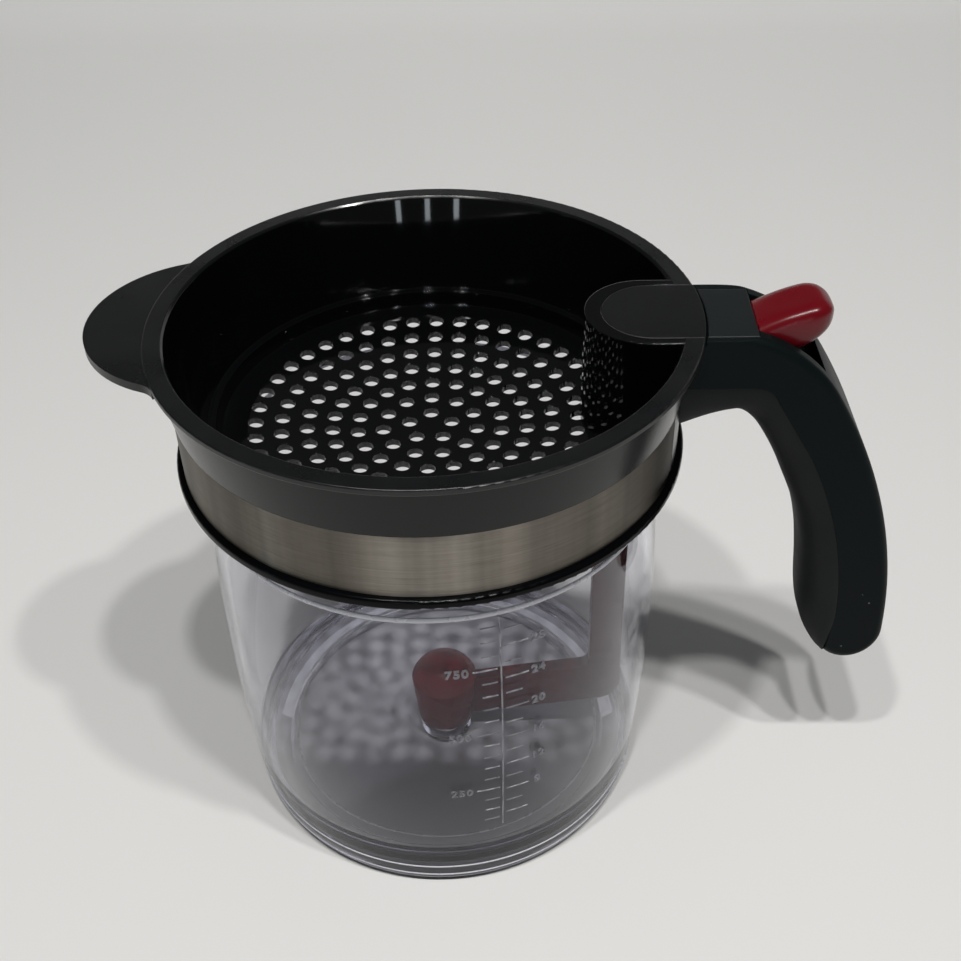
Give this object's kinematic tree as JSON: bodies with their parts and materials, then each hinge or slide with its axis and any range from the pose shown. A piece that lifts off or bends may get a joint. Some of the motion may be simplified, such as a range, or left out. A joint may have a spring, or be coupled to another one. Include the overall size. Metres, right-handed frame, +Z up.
{
  "type": "gravy fat separator",
  "caption": "Clear measuring cup with a strainer lid, a steel-banded collar, a hanging side handle and a thumb lever that lifts a stopper off an outlet in its floor.",
  "frame": {"origin": "centre of the cup's foot, on the table it stands on", "axes": "+Z up along the cup's axis, +X towards the handle, +Y to the left of a person who holds the handle with the cup in front"},
  "size_m": [0.2131, 0.1384, 0.1606],
  "materials": {
    "clear_plastic": "clear, polished moulded plastic",
    "satin_black_plastic": "satin moulded black",
    "handle_plastic": "fine matte texture, very dark green-grey",
    "soft_grip": "soft matte overmould",
    "gloss_black_plastic": "polished black",
    "brushed_steel": "brushed along the band",
    "red_plastic": "polished deep red",
    "red_silicone": "soft satin silicone",
    "pin_steel": "plain ground steel"
  },
  "bodies": {
    "base": {"cup": "clear_plastic", "collar": "satin_black_plastic", "collar_lower_ring": "satin_black_plastic", "steel_band": "brushed_steel", "handle_shell": "handle_plastic", "handle_top_cap": "handle_plastic", "handle_grip": "soft_grip", "pivot_pin": "pin_steel", "return_spring": "pin_steel", "handle_screws": "pin_steel"},
    "lever": {"trigger": "red_plastic", "link_pin": "pin_steel"},
    "lift": {"lift_arm": "red_plastic", "stopper": "red_silicone"},
    "lid": {"strainer_lid": "gloss_black_plastic", "lid_inlay_plate": "satin_black_plastic"}
  },
  "joints": [
    {"name": "lever_pivot", "type": "hinge", "parent": "base", "child": "lever", "pos_m": [0.074, 0, 0.146], "axis": [0, 1, 0], "range_deg": [0, 15], "stiffness_Nm_per_rad": 0.4, "springref_deg": -14.32},
    {"name": "stopper_lift", "type": "slide", "parent": "base", "child": "lift", "axis": [0, 0, 1], "range_m": [0, 0.00628]},
    {"name": "lid_off", "type": "slide", "parent": "base", "child": "lid", "axis": [0, 0, 1], "range_m": [0, 0.045]}
  ],
  "couplings": [
    {"joint": "stopper_lift", "follows": "lever_pivot", "m_per_rad": 0.0239}
  ]
}
